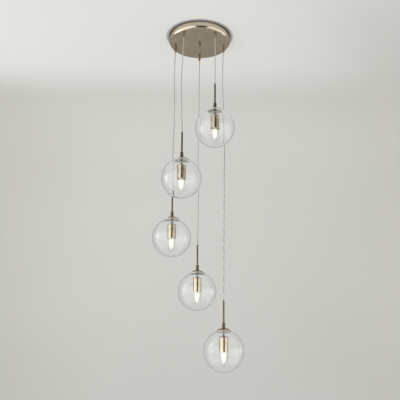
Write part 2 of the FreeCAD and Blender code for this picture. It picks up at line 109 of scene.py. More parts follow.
def new_group(name, inputs, outputs):
    """An empty node group with named sockets: inputs as (name, kind, default)."""
    group = bpy.data.node_groups.new(name, "ShaderNodeTree")
    for label, kind, default in inputs:
        socket = group.interface.new_socket(label, in_out="INPUT", socket_type=kind)
        if default is not None:
            socket.default_value = default
    for label, kind in outputs:
        group.interface.new_socket(label, in_out="OUTPUT", socket_type=kind)
    return group


class Nodes:
    """Short ways to add and join the nodes of one tree."""

    def __init__(self, tree):
        self.tree = tree

    def add(self, kind, values=None, **settings):
        node = self.tree.nodes.new(kind)
        for name, setting in settings.items():
            setattr(node, name, setting)
        for name, value in (values or {}).items():
            self.put(node, name, value)
        return node

    def put(self, node, name, value):
        """A socket takes a plain value, or the output that feeds it."""
        socket = node.inputs[name]
        if isinstance(value, bpy.types.NodeSocket):
            self.tree.links.new(value, socket)
        else:
            socket.default_value = value

    def math(self, operation, first, second=0.0, clamp=False):
        node = self.add("ShaderNodeMath", {0: first, 1: second}, operation=operation)
        node.use_clamp = clamp
        return node.outputs[0]

    def stretch(self, vector, scale, location=(0, 0, 0)):
        values = {"Vector": vector, "Scale": scale, "Location": location}
        return self.add("ShaderNodeMapping", values).outputs["Vector"]

    def object_place(self, centre=None):
        """Places on the object in metres, counted from a centre where one is given."""
        place = self.add("ShaderNodeTexCoord").outputs["Object"]
        return place if centre is None else self.stretch(place, (1, 1, 1), -centre)

    def parts(self, vector):
        return self.add("ShaderNodeSeparateXYZ", {0: vector}).outputs

    def noise(self, vector, scale, detail, roughness):
        values = {"Vector": vector, "Scale": scale, "Detail": detail, "Roughness": roughness}
        return self.add("ShaderNodeTexNoise", values).outputs["Fac"]

    def remap(self, value, low, high, to_low, to_high):
        values = {0: value, 1: low, 2: high, 3: to_low, 4: to_high}
        return self.add("ShaderNodeMapRange", values).outputs[0]

    def spread(self, noise, to_low, to_high):
        """A noise's whole usual range, laid over another."""
        return self.remap(noise, *NOISE_RANGE, to_low, to_high)

    def contrast(self, noise):
        """The middle of a noise's range, laid over 0 to 1."""
        return self.remap(noise, *NOISE_MIDDLE, 0, 1)

    def scaled(self, vector, factor):
        return self.add("ShaderNodeVectorMath", {0: vector, 3: factor}, operation="SCALE").outputs[0]

    def rise(self, value, start, end):
        """A smooth step from 0 at start to 1 at end."""
        node = self.add("ShaderNodeMapRange", {0: value, 1: start, 2: end}, interpolation_type="SMOOTHSTEP")
        return node.outputs[0]

    def window(self, value, start, full, ending, gone):
        """A smooth hump: 0 up to start, 1 from full to ending, and 0 again from gone."""
        return self.math("MULTIPLY", self.rise(value, start, full), self.rise(value, gone, ending))

    def blend(self, factor, first, second):
        node = self.add("ShaderNodeMix", {0: factor}, data_type="RGBA")
        self.put(node, 6, first)
        self.put(node, 7, second)
        return node.outputs[2]

    def group(self, tree, values):
        node = self.add("ShaderNodeGroup")
        node.node_tree = tree
        for name, value in values.items():
            self.put(node, name, value)
        return node


def new_material(name):
    """A material with its Principled shader on the output, ready for its nodes."""
    material = bpy.data.materials.new(name)
    material.use_nodes = True
    nodes = Nodes(material.node_tree)
    shader = material.node_tree.nodes["Principled BSDF"]
    output = material.node_tree.nodes["Material Output"]
    return material, nodes, shader, output


def colour(red, green, blue):
    return (red, green, blue, 1.0)


# ---------------------------------------- shared effects

# Where the broad noise turns into smears, and how much finer the grain inside them is.
SMEAR_RANGE = (0.45, 0.75)
FINE_SMEARS = 6.0
# Noise per metre that pushes the turned rings aside, and that clouds the metal.
RING_WANDER = 14.0
METAL_CLOUD = 18.0


def make_handling():
    """Faint smears and prints: they dull a polished surface in soft patches."""
    group = new_group("handling", [
        ("Vector", "NodeSocketVector", None),
        ("Size", "NodeSocketFloat", 40.0),
        ("Roughness", "NodeSocketFloat", 0.1),
        ("Amount", "NodeSocketFloat", 0.1),
    ], [("Roughness", "NodeSocketFloat"), ("Mask", "NodeSocketFloat")])
    nodes = Nodes(group)
    given = nodes.add("NodeGroupInput").outputs
    broad = nodes.noise(given["Vector"], given["Size"], 3.0, 0.6)
    fine_size = nodes.math("MULTIPLY", given["Size"], FINE_SMEARS)
    fine = nodes.noise(given["Vector"], fine_size, 2.0, 0.5)
    both = nodes.math("MULTIPLY", nodes.remap(broad, *SMEAR_RANGE, 0, 1), nodes.spread(fine, 0.4, 1))
    dulled = nodes.math("MULTIPLY", both, given["Amount"])
    end = nodes.add("NodeGroupOutput")
    nodes.put(end, "Roughness", nodes.math("ADD", given["Roughness"], dulled))
    nodes.put(end, "Mask", both)
    return group


def make_spun_lines():
    """The fine rings that a tool leaves on sheet metal turned about the vertical axis."""
    group = new_group("spun_lines", [
        ("Vector", "NodeSocketVector", None),
        ("Rings", "NodeSocketFloat", 900.0),
        ("Drift", "NodeSocketFloat", 0.15),
    ], [("Lines", "NodeSocketFloat"), ("Cloud", "NodeSocketFloat")])
    nodes = Nodes(group)
    given = nodes.add("NodeGroupInput").outputs
    parts = nodes.parts(given["Vector"])
    squares = [nodes.math("MULTIPLY", parts[axis], parts[axis]) for axis in "XY"]
    radius = nodes.math("SQRT", nodes.math("ADD", *squares))
    wander = nodes.noise(given["Vector"], RING_WANDER, 2.0, 0.5)
    drift = nodes.math("MULTIPLY", given["Drift"], MM)
    drifted = nodes.math("ADD", radius, nodes.math("MULTIPLY", wander, drift))
    flat = nodes.add("ShaderNodeCombineXYZ", {"X": drifted, "Y": parts["Z"]}).outputs[0]
    lines = nodes.noise(flat, given["Rings"], 4.0, 0.7)
    cloud = nodes.noise(given["Vector"], METAL_CLOUD, 3.0, 0.55)
    end = nodes.add("NodeGroupOutput")
    nodes.put(end, "Lines", lines)
    nodes.put(end, "Cloud", cloud)
    return group


def make_speckle():
    """Fine moulded or cast grain, with broader and softer unevenness under it."""
    group = new_group("speckle", [
        ("Vector", "NodeSocketVector", None),
        ("Grain", "NodeSocketFloat", 1500.0),
        ("Patches", "NodeSocketFloat", 60.0),
    ], [("Grain", "NodeSocketFloat"), ("Patches", "NodeSocketFloat")])
    nodes = Nodes(group)
    given = nodes.add("NodeGroupInput").outputs
    end = nodes.add("NodeGroupOutput")
    nodes.put(end, "Grain", nodes.noise(given["Vector"], given["Grain"], 3.0, 0.6))
    nodes.put(end, "Patches", nodes.noise(given["Vector"], given["Patches"], 3.0, 0.5))
    return group


HANDLING = make_handling()
SPUN_LINES = make_spun_lines()
SPECKLE = make_speckle()

# ---------------------------------------- finishes

# Each bump is a strength and a height in metres. Grains, patches and smears are counted per metre.

# Where a bulb's glow sets in, is full, and ends again, as shares of its core from the foot up.
GLOW_SHARES = (0.0, 0.3, 0.72, 1.0)
# The frosted glass takes up a little of that light, and carries it further up and down.
VEIL_SHARES = (-0.1, 0.35, 0.8, 1.2)
VEIL_GLOW = colour(0.1, 0.095, 0.075)
GLOW_DIM = colour(0.2, 0.145, 0.08)
GLOW_BRIGHT = colour(1.0, 0.96, 0.87)
GLOW_STRENGTH = 0.5
GLOW_UNEVEN = (-0.03, 0.03)
NO_GLOW = colour(0, 0, 0)
CORE_DEEP = colour(0.86, 0.83, 0.76)
CORE_LIGHT = colour(0.95, 0.94, 0.9)
CORE_ROUGHNESS = (0.4, 0.6)
CORE_GRAIN = {"Grain": 900.0, "Patches": 90.0}
FROST_DEEP = colour(0.97, 0.965, 0.95)
FROST_LIGHT = colour(0.99, 0.985, 0.975)
FROST_SHADOW = colour(0.9, 0.89, 0.87)
FROST_ROUGHNESS = (0.3, 0.42)
FROST_GRAIN = {"Grain": 2400.0, "Patches": 90.0}
FROST_IOR = 1.3

# Glass seen at a grazing angle, as at a globe's outline, is painted a little grey: painted shade that stands
# in for the dark outline its reflections give.
GLASS_CLEAN = colour(0.985, 0.99, 0.99)
GLASS_SMEARED = colour(0.95, 0.955, 0.95)
GLASS_PAINTED_OUTLINE = colour(0.72, 0.73, 0.72)
GLASS_OUTLINE_FACING = (0.35, 0.95)
GLASS_OUTLINE_SHARE = 0.1
GLASS_SHADOW = colour(0.93, 0.94, 0.935)
GLASS_IOR = 1.47
GLASS_WAVES = 22.0
GLASS_SMEARS = {"Size": 16.0, "Amount": 0.03}
GLASS_BUMP = (0.035, 2 * MM)

# A cord's two strands, and where the wave round it passes from the gap between them to a strand. The gap is
# painted dark, as painted shade in the groove.
STRANDS = 2.0
STRAND_EDGES = (-0.75, 0.35)
STRAND_LIGHT = colour(0.86, 0.84, 0.80)
STRAND_DEEP = colour(0.50, 0.48, 0.44)
STRAND_GROOVE_SHADE = colour(0.20, 0.19, 0.175)
STRAND_METAL = (0.25, 0.6)
STRAND_BUMP = (0.5, 0.4 * MM)
JACKET_ROUGHNESS = (0.26, 0.4)
JACKET_GRAIN = {"Grain": 2600.0, "Patches": 80.0}

SILICONE_LIGHT = colour(0.78, 0.77, 0.74)
SILICONE_DEEP = colour(0.62, 0.61, 0.58)
SILICONE_ROUGHNESS = (0.45, 0.6)
SILICONE_GRAIN = {"Grain": 700.0, "Patches": 70.0}
SILICONE_BUMP = (0.1, 0.1 * MM)
PLASTIC_PATCHES = 45.0
PLASTIC_UNEVEN = 0.06
PLASTIC_BUMP = (0.15, 0.1 * MM)

NICKEL_LIGHT = colour(0.68, 0.595, 0.48)
NICKEL_DARK = colour(0.55, 0.47, 0.37)
CAP_LIGHT = colour(0.68, 0.605, 0.5)
CAP_DARK = colour(0.56, 0.485, 0.39)
POLISHED_LIGHT = colour(0.74, 0.655, 0.505)
POLISHED_DEEP = colour(0.64, 0.555, 0.415)
STEM_LIGHT = colour(0.18, 0.155, 0.12)
STEM_DEEP = colour(0.13, 0.11, 0.08)
GLAND_LIGHT = colour(0.34, 0.285, 0.215)
GLAND_DARK = colour(0.22, 0.18, 0.13)
# The tint that nickel fades to where it is seen at a grazing angle.
NICKEL_EDGE = colour(0.45, 0.42, 0.38)
# How rough the surfaces are, how strongly brushing draws their shine out, and turned rings per metre.
CANOPY_ROUGHNESS = 0.16
SMALL_ROUGHNESS = 0.2
STEM_ROUGHNESS = 0.16
CUP_ROUGHNESS = 0.1
BRUSHING = 0.6
CANOPY_RINGS = 700.0
SMALL_RINGS = 1600.0
POLISHED_RINGS = 1400.0
# How much of a brushed surface's tone follows its rings. The rest is cloudy.
LINE_SHARE = 0.6
LINE_ROUGHNESS = (-0.05, 0.05)
BRUSHED_SMEARS = {"Size": 30.0, "Amount": 0.1}
BRUSHED_BUMP = (0.12, 0.2 * MM)
POLISHED_SMEARS = {"Size": 55.0, "Amount": 0.14}
POLISHED_BUMP = (0.05, 0.1 * MM)
ZINC_GRAINS = 420.0
ZINC_EDGES = (0.0, 0.7)
ZINC_ROUGHNESS = (0.3, 0.46)
ZINC_BUMP = (0.1, 0.1 * MM)


def add_bump(nodes, shader, height, strength, distance):
    """Raise and sink the surface by up to a distance in metres, where height is 1 and 0."""
    values = {"Height": height, "Strength": strength, "Distance": distance}
    nodes.put(shader, "Normal", nodes.add("ShaderNodeBump", values).outputs["Normal"])


def brushed_nickel(name, centre, light, dark, roughness, rings, brushing):
    """Warm nickel, turned or spun about a vertical axis through its centre, and brushed round it."""
    material, nodes, shader, _ = new_material(name)
    vector = nodes.object_place(centre)
    lines = nodes.group(SPUN_LINES, {"Vector": vector, "Rings": rings}).outputs
    handled = {"Vector": vector, "Roughness": roughness, **BRUSHED_SMEARS}
    smears = nodes.group(HANDLING, handled).outputs
    line_tone = nodes.math("MULTIPLY", lines["Lines"], LINE_SHARE)
    tone = nodes.math("ADD", line_tone, nodes.math("MULTIPLY", lines["Cloud"], 1 - LINE_SHARE))
    nodes.put(shader, "Base Color", nodes.blend(nodes.contrast(tone), dark, light))
    varied = nodes.math("ADD", smears["Roughness"], nodes.spread(lines["Lines"], *LINE_ROUGHNESS))
    nodes.put(shader, "Roughness", varied)
    nodes.put(shader, "Metallic", 1.0)
    nodes.put(shader, "Specular Tint", NICKEL_EDGE)
    nodes.put(shader, "Anisotropic", brushing)
    outwards = nodes.stretch(vector, (1, 1, 0))
    tangent = nodes.add("ShaderNodeVectorMath", {0: outwards}, operation="NORMALIZE").outputs[0]
    nodes.put(shader, "Tangent", tangent)
    add_bump(nodes, shader, lines["Lines"], *BRUSHED_BUMP)
    return material


def polished_nickel(name, centre, tint, deep, roughness):
    """Bright nickel plate with faint turning rings and soft smears."""
    material, nodes, shader, _ = new_material(name)
    vector = nodes.object_place(centre)
    lines = nodes.group(SPUN_LINES, {"Vector": vector, "Rings": POLISHED_RINGS}).outputs
    handled = {"Vector": vector, "Roughness": roughness, **POLISHED_SMEARS}
    smears = nodes.group(HANDLING, handled).outputs
    nodes.put(shader, "Base Color", nodes.blend(nodes.contrast(lines["Cloud"]), deep, tint))
    nodes.put(shader, "Roughness", smears["Roughness"])
    nodes.put(shader, "Metallic", 1.0)
    nodes.put(shader, "Specular Tint", NICKEL_EDGE)
    add_bump(nodes, shader, lines["Lines"], *POLISHED_BUMP)
    return material


def plated_steel(name, tint, deep):
    """Zinc plate: pale grains of slightly different tone."""
    material, nodes, shader, _ = new_material(name)
    place = nodes.object_place()
    grains = nodes.add("ShaderNodeTexVoronoi", {"Vector": place, "Scale": ZINC_GRAINS}).outputs["Distance"]
    grain = nodes.group(SPECKLE, {"Vector": place}).outputs
    nodes.put(shader, "Base Color", nodes.blend(nodes.remap(grains, *ZINC_EDGES, 0, 1), deep, tint))
    nodes.put(shader, "Roughness", nodes.spread(grain["Patches"], *ZINC_ROUGHNESS))
    nodes.put(shader, "Metallic", 1.0)
    add_bump(nodes, shader, grain["Grain"], *ZINC_BUMP)
    return material


def moulded_plastic(name, tint, deep, roughness):
    """Plastic with a fine moulded grain."""
    material, nodes, shader, _ = new_material(name)
    place = nodes.object_place()
    grain = nodes.group(SPECKLE, {"Vector": place, "Patches": PLASTIC_PATCHES}).outputs
    nodes.put(shader, "Base Color", nodes.blend(nodes.contrast(grain["Patches"]), deep, tint))
    limits = (roughness - PLASTIC_UNEVEN, roughness + PLASTIC_UNEVEN)
    nodes.put(shader, "Roughness", nodes.spread(grain["Patches"], *limits))
    add_bump(nodes, shader, grain["Grain"], *PLASTIC_BUMP)
    return material


def let_lamps_through(nodes, shader, output, tint):
    """Shadow rays pass through the glass, and only take its tint."""
    through = nodes.add("ShaderNodeBsdfTransparent", {"Color": tint}).outputs[0]
    shadow = nodes.add("ShaderNodeLightPath").outputs["Is Shadow Ray"]
    mixed = nodes.add("ShaderNodeMixShader", {0: shadow, 1: shader.outputs[0], 2: through})
    nodes.put(output, "Surface", mixed.outputs[0])


def clear_glass(name, centre):
    """Blown glass: clear, very slightly uneven, with faint smears. Lamps shine through it."""
    material, nodes, shader, output = new_material(name)
    vector = nodes.object_place(centre)
    handled = {"Vector": vector, "Roughness": 0.0, **GLASS_SMEARS}
    smears = nodes.group(HANDLING, handled).outputs
    waves = nodes.noise(nodes.stretch(vector, (1, 1, 1.6)), GLASS_WAVES, 1.0, 0.4)
    # Painted shade: the glass's colour turns grey towards its outline, by how it faces.
    facing = nodes.add("ShaderNodeLayerWeight", {"Blend": 0.5}).outputs["Facing"]
    painted_outline = nodes.math("MULTIPLY", nodes.rise(facing, *GLASS_OUTLINE_FACING), GLASS_OUTLINE_SHARE)
    wiped = nodes.blend(smears["Mask"], GLASS_CLEAN, GLASS_SMEARED)
    nodes.put(shader, "Base Color", nodes.blend(painted_outline, wiped, GLASS_PAINTED_OUTLINE))
    nodes.put(shader, "Roughness", smears["Roughness"])
    nodes.put(shader, "Transmission Weight", 1.0)
    nodes.put(shader, "IOR", GLASS_IOR)
    add_bump(nodes, shader, waves, *GLASS_BUMP)
    let_lamps_through(nodes, shader, output, GLASS_SHADOW)
    return material


def share_up(nodes, vector, foot, head, cloud):
    """How far up a bulb a point is: 0 at the foot and 1 at the head, with slightly uneven levels."""
    height = nodes.parts(vector)["Z"]
    even = nodes.remap(height, foot, head, 0.0, 1.0)
    return nodes.math("ADD", even, nodes.spread(cloud, *GLOW_UNEVEN))


def frosted_glass(name, centre, foot, head):
    """Thin bulb glass, etched inside, that spreads the light of what glows in it."""
    material, nodes, shader, output = new_material(name)
    vector = nodes.object_place(centre)
    cloud = nodes.group(SPECKLE, {"Vector": vector, **FROST_GRAIN}).outputs
    nodes.put(shader, "Base Color", nodes.blend(cloud["Patches"], FROST_DEEP, FROST_LIGHT))
    nodes.put(shader, "Roughness", nodes.spread(cloud["Grain"], *FROST_ROUGHNESS))
    nodes.put(shader, "Transmission Weight", 1.0)
    nodes.put(shader, "IOR", FROST_IOR)
    level = share_up(nodes, vector, foot, head, cloud["Patches"])
    veil = nodes.blend(nodes.window(level, *VEIL_SHARES), NO_GLOW, VEIL_GLOW)
    nodes.put(shader, "Emission Color", veil)
    nodes.put(shader, "Emission Strength", 1.0)
    let_lamps_through(nodes, shader, output, FROST_SHADOW)
    return material


def glowing_core(name, centre, foot, head):
    """What glows inside a bulb: brightest in the middle, dimmer and warmer towards both ends."""
    material, nodes, shader, _ = new_material(name)
    vector = nodes.object_place(centre)
    cloud = nodes.group(SPECKLE, {"Vector": vector, **CORE_GRAIN}).outputs
    core = nodes.window(share_up(nodes, vector, foot, head, cloud["Patches"]), *GLOW_SHARES)
    nodes.put(shader, "Base Color", nodes.blend(core, CORE_DEEP, CORE_LIGHT))
    nodes.put(shader, "Emission Color", nodes.blend(core, GLOW_DIM, GLOW_BRIGHT))
    nodes.put(shader, "Emission Strength", GLOW_STRENGTH)
    nodes.put(shader, "Roughness", nodes.spread(cloud["Grain"], *CORE_ROUGHNESS))
    return material


def cord_jacket(name, turns):
    """A clear glossy jacket over two silvery strands that twist round each other."""
    material, nodes, shader, _ = new_material(name)
    place = nodes.add("ShaderNodeTexCoord").outputs
    parts = nodes.parts(place["UV"])
    twist = nodes.math("MULTIPLY", parts["X"], turns)
    phase = nodes.math("ADD", twist, nodes.math("MULTIPLY", parts["Y"], STRANDS))
    wave = nodes.math("SINE", nodes.math("MULTIPLY", phase, FULL_TURN))
    strands = nodes.remap(wave, *STRAND_EDGES, 0, 1)
    fine = nodes.group(SPECKLE, {"Vector": place["Object"], **JACKET_GRAIN}).outputs
    silver = nodes.blend(fine["Grain"], STRAND_DEEP, STRAND_LIGHT)
    # Painted shade: the groove between the strands is dark.
    nodes.put(shader, "Base Color", nodes.blend(strands, STRAND_GROOVE_SHADE, silver))
    nodes.put(shader, "Roughness", nodes.spread(fine["Patches"], *JACKET_ROUGHNESS))
    nodes.put(shader, "Metallic", nodes.remap(strands, 0.0, 1.0, *STRAND_METAL))
    nodes.put(shader, "Coat Weight", 0.7)
    nodes.put(shader, "Coat Roughness", 0.08)
    add_bump(nodes, shader, strands, *STRAND_BUMP)
    return material


def silicone(name):
    """Soft translucent rubber."""
    material, nodes, shader, _ = new_material(name)
    place = nodes.object_place()
    grain = nodes.group(SPECKLE, {"Vector": place, **SILICONE_GRAIN}).outputs
    nodes.put(shader, "Base Color", nodes.blend(grain["Patches"], SILICONE_DEEP, SILICONE_LIGHT))
    nodes.put(shader, "Roughness", nodes.spread(grain["Patches"], *SILICONE_ROUGHNESS))
    nodes.put(shader, "Subsurface Weight", 0.15)
    add_bump(nodes, shader, grain["Grain"], *SILICONE_BUMP)
    return material


CANOPY_NICKEL = brushed_nickel(
    "canopy_nickel", ORIGIN, NICKEL_LIGHT, NICKEL_DARK, CANOPY_ROUGHNESS, CANOPY_RINGS, BRUSHING
)
SMALL_NICKEL = brushed_nickel(
    "small_nickel", ORIGIN, GLAND_LIGHT, GLAND_DARK, SMALL_ROUGHNESS, SMALL_RINGS, 0.0
)
ZINC = plated_steel("zinc_plate", colour(0.66, 0.67, 0.68), colour(0.5, 0.51, 0.53))
BRASS = plated_steel("plain_brass", colour(0.74, 0.58, 0.3), colour(0.62, 0.47, 0.22))
BLOCK_PLASTIC = moulded_plastic("block_plastic", colour(0.84, 0.84, 0.8), colour(0.76, 0.76, 0.72), 0.42)
HOLDER_PLASTIC = moulded_plastic("holder_plastic", colour(0.85, 0.83, 0.77), colour(0.77, 0.75, 0.68), 0.5)
SILICONE = silicone("silicone")

# ---------------------------------------- mesh building


def arc(centre_r, centre_z, radius, start, end, steps):
    """Points on an arc of the half section, between two angles in degrees."""
    points = []
    for step in range(steps + 1):
        angle = math.radians(start + (end - start) * step / steps)
        points.append((centre_r + radius * math.cos(angle), centre_z + radius * math.sin(angle)))
    return points


def groove(radius, level, depth, half_width):
    """Points of a V-shaped groove round a barrel, from its lower edge up."""
    return [(radius, level - half_width), (radius - depth, level), (radius, level + half_width)]


def arc_through(start, end, slope_at_start):
    """Centre and radius of the arc from start to end whose tangent at start is level or upright."""
    across = end[0] - start[0]
    along = end[1] - start[1]
    if slope_at_start == "level":
        radius = (across**2 + along**2) / (2 * abs(along))
        return start[0], start[1] + math.copysign(radius, along), radius
    radius = (across**2 + along**2) / (2 * abs(across))
    return start[0] + math.copysign(radius, across), start[1], radius


# Edges that turn by more than this are softened, and vertices nearer than this are one.
SHARP_ANGLE = math.radians(28)
SAME_PLACE = 1e-6
NO_LENGTH = 1e-7
FACE_WEIGHT = 80

# How many faces go round each turned piece.
CANOPY_STEPS = 180
GLOBE_STEPS = 120
CAP_STEPS = 96
CUP_STEPS = 72
BULB_STEPS = 56
SMALL_STEPS = 48
STEM_STEPS = 40
CORE_STEPS = 32


def spun(name, section, centre, steps, edge=0.0, segments=3):
    """Turn a closed half section about the vertical through its centre, and soften its edges."""
    mesh = bpy.data.meshes.new(name)
    shape = bmesh.new()
    corners = [shape.verts.new((radius, 0, height)) for radius, height in section]
    rim = [shape.edges.new((corners[i - 1], corners[i])) for i in range(len(corners))]
    bmesh.ops.spin(
        shape, geom=corners + rim, cent=ORIGIN, axis=UP, angle=FULL_TURN, steps=steps, use_merge=True
    )
    bmesh.ops.remove_doubles(shape, verts=shape.verts, dist=SAME_PLACE)
    bmesh.ops.dissolve_degenerate(shape, edges=shape.edges, dist=NO_LENGTH)
    bmesh.ops.recalc_face_normals(shape, faces=shape.faces)
    if edge:
        sharp = [e for e in shape.edges if e.is_manifold and e.calc_face_angle() > SHARP_ANGLE]
        bmesh.ops.bevel(
            shape, geom=sharp, offset=edge, affect="EDGES", segments=segments, profile=0.5, material=-1,
            clamp_overlap=True,
        )
    bmesh.ops.translate(shape, verts=shape.verts, vec=centre)
    finish_mesh(shape, mesh)
    piece = bpy.data.objects.new(name, mesh)
    bpy.context.collection.objects.link(piece)
    weigh_normals(piece)
    return piece


def finish_mesh(shape, mesh):
    """Smooth the faces, and hand them over to the mesh."""
    for face in shape.faces:
        face.smooth = True
    shape.to_mesh(mesh)
    shape.free()


def weigh_normals(piece):
    """Large flat faces keep a level shine up to their rounded edges."""
    modifier = piece.modifiers.new("weighted_normals", "WEIGHTED_NORMAL")
    modifier.keep_sharp = True
    modifier.weight = FACE_WEIGHT


def settle(piece, body, node, material):
    """Give a new piece its finish and its body, and hide the node that it stands for."""
    piece.data.materials.append(material)
    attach(piece, body)
    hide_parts(node)


# ---------------------------------------- cords

CORD_RADIUS = 1.75 * MM
STRAND_PITCH = 9 * MM

# The points that a cord bends towards: share of the way down, and how far it strays in x and y, in metres.
ROUTES = {
    "a": [(0.55, 0.0008, -0.0006)],
    "b": [(0.10, -0.0016, 0.0), (0.30, -0.0046, 0.0008), (0.52, -0.0068, 0.0012), (0.80, -0.0032, 0.0004)],
    "c": [
        (0.07, -0.0028, 0.0), (0.22, -0.0024, 0.0006), (0.48, 0.0016, 0.0010),
        (0.68, -0.0016, 0.0002), (0.84, -0.0024, -0.0005),
    ],
    "d": [(0.12, 0.0009, 0.0005), (0.36, -0.0014, 0.0009), (0.58, -0.0022, 0.0003), (0.78, 0.0022, -0.0006)],
    "e": [
        (0.05, -0.0024, 0.0), (0.12, -0.0040, 0.0006), (0.22, -0.0012, 0.0010),
        (0.34, 0.0044, 0.0004), (0.52, 0.0028, -0.0007),
    ],
}


def route_of(key):
    """The points that guide a cord, from its grip down to its stem."""
    low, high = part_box(f"cord_{key}")
    start = exit_of(key) + UP * high.z
    points = [start]
    for share, sideways, forwards in ROUTES[key]:
        points.append(start + Vector((sideways, forwards, share * (low.z - high.z))))
    points.append(exit_of(key) + UP * low.z)
    return points


def hang_cord(key):
    """One cord, as a smooth curve along its route."""
    points = route_of(key)
    length = sum((b - a).length for a, b in zip(points, points[1:]))
    data = bpy.data.curves.new(f"hanging_cord_{key}", "CURVE")
    data.dimensions = "3D"
    data.bevel_depth = CORD_RADIUS
    data.bevel_resolution = 5
    data.resolution_u = 24
    data.use_fill_caps = True
    spline = data.splines.new("NURBS")
    spline.points.add(len(points) - 1)
    for spline_point, point in zip(spline.points, points):
        spline_point.co = (*point, 1.0)
    spline.order_u = 3
    spline.use_endpoint_u = True
    piece = bpy.data.objects.new(f"hanging_cord_{key}", data)
    bpy.context.collection.objects.link(piece)
    jacket = cord_jacket(f"cord_{key}_jacket", length / STRAND_PITCH)
    settle(piece, f"cord_{key}", f"cord_{key}", jacket)


for key in PLACES:
    hang_cord(key)

# ---------------------------------------- canopy

CANOPY_RADIUS = 125 * MM
CANOPY_DEPTH = 30 * MM
CANOPY_WALL = 1.5 * MM
CANOPY_EDGE = 12 * MM
STUD_HOLE = 3.25 * MM
SOFT_EDGE = 0.25 * MM
FINE_EDGE = 0.12 * MM


def make_canopy():
    """The spun pan: a flat face, a rounded lower edge and an upright wall."""
    turn = CANOPY_RADIUS - CANOPY_EDGE
    level = CANOPY_EDGE - CANOPY_DEPTH
    inner = CANOPY_EDGE - CANOPY_WALL
    section = [(STUD_HOLE, -CANOPY_DEPTH), (turn / 2, -CANOPY_DEPTH)]
    section += arc(turn, level, CANOPY_EDGE, -90, 0, 18)
    section += [(CANOPY_RADIUS, 0), (CANOPY_RADIUS - CANOPY_WALL, 0)]
    section += arc(turn, level, inner, 0, -90, 12)
    section += [(turn / 2, CANOPY_WALL - CANOPY_DEPTH), (STUD_HOLE, CANOPY_WALL - CANOPY_DEPTH)]
    piece = spun("canopy_shell", section, ORIGIN, CANOPY_STEPS, SOFT_EDGE)
    settle(piece, "root", "canopy_pan", CANOPY_NICKEL)


def make_cap_nut():
    """A blind nut with a domed end, and a groove that sets off its thin foot against the canopy."""
    radius = 6 * MM
    height = 14 * MM
    bore = 3.1 * MM
    bore_end = -CANOPY_DEPTH - 9.25 * MM
    section = [(bore, -CANOPY_DEPTH), (bore, bore_end), (0, bore_end)]
    section += arc(0, -CANOPY_DEPTH - height + radius, radius, -90, 0, 12)
    section += groove(radius, -CANOPY_DEPTH - 1.2 * MM, 0.4 * MM, 0.4 * MM)
    section += [(radius, -CANOPY_DEPTH)]
    piece = spun("domed_nut", section, ORIGIN, SMALL_STEPS, FINE_EDGE, 2)
    settle(piece, "root", "cap_nut", SMALL_NICKEL)


def grip_section():
    """A gland's half section: neck above the face, grooved barrel, and a nose that narrows to the cord."""
    bore = 2.0 * MM
    tip = -CANOPY_DEPTH - 19 * MM
    knee = -CANOPY_DEPTH - 10 * MM
    barrel = 5.5 * MM
    nose = 3.1 * MM
    thread = 4 * MM
    neck_top = -CANOPY_DEPTH + 7.5 * MM
    centre_r, centre_z, radius = arc_through((barrel, knee), (nose, tip), "upright")
    last = math.degrees(math.asin((tip - knee) / radius))
    section = [(bore, neck_top), (bore, tip), (nose, tip)]
    section += arc(centre_r, centre_z, radius, last, 0, 8)[1:]
    section += groove(barrel, knee + 1.6 * MM, 0.5 * MM, 0.4 * MM)
    section += [(barrel, -CANOPY_DEPTH), (thread, -CANOPY_DEPTH), (thread, neck_top)]
    return section


def make_grips():
    """All five glands as one piece, as the node that it stands for."""
    parts = [
        spun(f"grip_{key}", grip_section(), exit_of(key), STEM_STEPS, FINE_EDGE, 2) for key in PLACES
    ]
    mesh = bpy.data.meshes.new("cord_glands")
    shape = bmesh.new()
    for part in parts:
        shape.from_mesh(part.data)
        bpy.data.objects.remove(part)
    finish_mesh(shape, mesh)
    piece = bpy.data.objects.new("cord_glands", mesh)
    bpy.context.collection.objects.link(piece)
    weigh_normals(piece)
    settle(piece, "root", "cord_grips", SMALL_NICKEL)


make_canopy()
make_cap_nut()
make_grips()

# ---------------------------------------- pendants

GLOBE_WALL = 2.5 * MM
MOUTH_RADIUS = 22 * MM
STEM_RADIUS = 3.25 * MM
STEM_BORE = 2.2 * MM
STEM_HOLE = 3.35 * MM
COLLAR_RADIUS = 6 * MM
CAP_RADIUS = 27.5 * MM
CAP_DOME = 24 * MM
CAP_WALL = 1.2 * MM
CAP_LAND = 7 * MM
CUP_RADIUS = 16 * MM
CUP_WALL = 1 * MM
CUP_EDGE = 3 * MM
CUP_LIP = 1.5 * MM
CUP_LIP_HEIGHT = 1.6 * MM
BULB_RADIUS = 11 * MM
BULB_SHOULDER = 7.5 * MM
BULB_BASE = 5.9 * MM
BULB_WIDEST = 27 * MM
BULB_TIP = 1.2 * MM
BULB_BASE_LENGTH = 20.8 * MM
BULB_WALL = 0.8 * MM
THREAD_PITCH = 2.54 * MM
THREAD_DEPTH = 0.5 * MM
# The screw base's plain foot, the turns' end below its top, its taper there, and the contact on top.
BASE_FOOT = 2 * MM
THREAD_END = 4 * MM
BASE_TAPER = 2 * MM
CONTACT_RADIUS = 2.5 * MM
# What glows: its radius, where it starts above the tip and ends below the shoulder, and how full it is.
CORE_RADIUS = 5.6 * MM
CORE_FOOT = 7 * MM
CORE_HEAD = 18 * MM
CORE_FULLNESS = 0.6
STALK_RADIUS = 2.2 * MM
TUBE_EDGE = 0.3 * MM
COLLAR_EDGE = 0.35 * MM
COLLAR_GROOVE = 0.35 * MM
GROOVE_PLACE = 2.4 * MM


